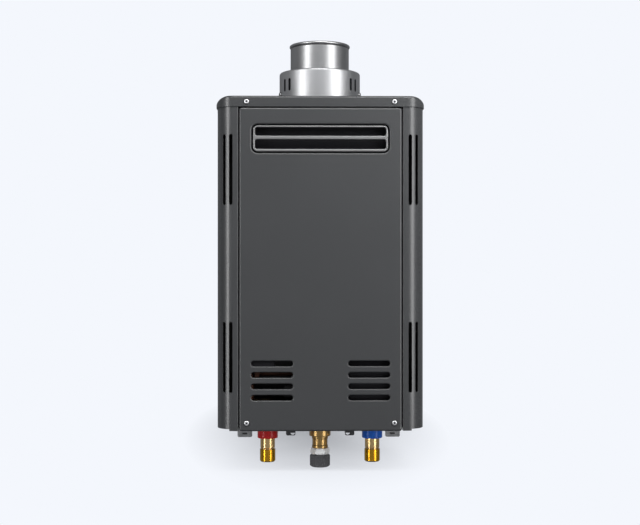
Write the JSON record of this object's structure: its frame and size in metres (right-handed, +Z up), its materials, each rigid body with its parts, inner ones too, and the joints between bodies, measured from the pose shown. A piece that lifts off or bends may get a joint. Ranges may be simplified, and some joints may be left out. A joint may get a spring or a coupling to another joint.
{
  "type": "wall-hung gas water heater",
  "caption": "Wall-hung outdoor gas water heater: sheet casing with a louvred lift-off front cover, a concentric flue on top, and water and gas connections below.",
  "frame": {"origin": "middle of the upper bracket's bolt line, on the wall plane", "axes": "+X to the right as seen from the front, +Y into the wall, +Z up"},
  "size_m": [0.356, 0.205, 0.7284],
  "materials": {
    "case_paint": "fine textured powder coat",
    "bracket_zinc": "dull galvanised",
    "louver_satin": "satin",
    "flue_steel": "bright spun sheet",
    "screw_bright": "bright",
    "fitting_brass": "machined",
    "copper": "drawn copper",
    "ring_red": "moulded",
    "ring_blue": "moulded",
    "nut_steel": "plated",
    "nut_black": "black oxide",
    "inner_steel": "aluminised sheet",
    "valve_alloy": "as cast",
    "black_plastic": "moulded",
    "grey_plastic": "moulded",
    "board_green": "laminate",
    "ceramic": "glazed ceramic",
    "seal": "foam rubber"
  },
  "bodies": {
    "casing": {"rear_panel": "case_paint", "right_side_panel": "case_paint", "left_side_panel": "case_paint", "top_cap": "case_paint", "floor_pan": "case_paint", "top_crossbar": "case_paint", "top_seal": "seal", "cap_screws": "screw_bright", "wall_bracket_upper": "bracket_zinc", "wall_bracket_lower": "bracket_zinc", "floor_lugs": "case_paint", "flue_collar": "flue_steel", "collar_screws": "screw_bright", "flue_pipe": "flue_steel", "water_fittings": "fitting_brass", "hot_marker_ring": "ring_red", "cold_marker_ring": "ring_blue", "inlet_strainer": "inner_steel", "gas_inlet_fitting": "fitting_brass", "gas_union_nut": "nut_steel", "gas_end_nut": "nut_black", "exhaust_hood": "inner_steel", "heat_exchanger_shell": "copper", "heat_exchanger_fins": "copper", "heat_exchanger_tubes": "copper", "combustion_chamber": "inner_steel", "ignition_electrodes": "ceramic", "overheat_switch": "black_plastic", "burner_frame": "inner_steel", "burner_bars": "inner_steel", "air_plenum": "inner_steel", "stack_brackets": "inner_steel", "fan_housing": "inner_steel", "fan_motor": "grey_plastic", "flow_sensor_body": "black_plastic", "water_valve_body": "fitting_brass", "water_valve_motor": "grey_plastic", "cold_pipe": "copper", "hot_pipe": "copper", "hot_outlet_block": "fitting_brass", "bypass_pipe": "copper", "gas_valve_body": "valve_alloy", "gas_solenoids": "black_plastic", "gas_riser": "inner_steel", "gas_manifold": "valve_alloy", "gas_nozzles": "fitting_brass", "control_box": "grey_plastic", "control_lid": "grey_plastic", "control_board": "board_green", "spark_transformer": "black_plastic"},
    "cover": {"front_cover": "case_paint", "front_louver": "louver_satin", "louver_baffle": "case_paint", "cover_screws": "screw_bright"},
    "fan_wheel": {"fan_impeller": "inner_steel"},
    "turbine": {"flow_turbine": "grey_plastic"},
    "meter_plug": {"water_valve_rotor": "fitting_brass"},
    "shutoff": {"shutoff_plunger": "nut_steel"},
    "regulator": {"regulator_plunger": "nut_steel"}
  },
  "joints": [
    {"name": "cover_lift_off", "type": "slide", "parent": "casing", "child": "cover", "axis": [0, -1, 0], "range_m": [0, 0.26]},
    {"name": "fan_spin", "type": "hinge", "parent": "casing", "child": "fan_wheel", "pos_m": [0, -0.05, -0.494], "axis": [0, 1, 0], "continuous": true},
    {"name": "turbine_spin", "type": "hinge", "parent": "casing", "child": "turbine", "pos_m": [0.09, -0.13, -0.5416], "axis": [0, 0, 1], "continuous": true},
    {"name": "meter_turn", "type": "hinge", "parent": "casing", "child": "meter_plug", "pos_m": [0.09, -0.13, -0.4956], "axis": [0, -1, 0], "range_deg": [0, 90]},
    {"name": "shutoff_lift", "type": "slide", "parent": "casing", "child": "shutoff", "axis": [-1, 0, 0], "range_m": [0, 0.003], "stiffness_N_per_m": 150},
    {"name": "regulator_lift", "type": "slide", "parent": "casing", "child": "regulator", "axis": [-1, 0, 0], "range_m": [0, 0.003], "stiffness_N_per_m": 150}
  ]
}
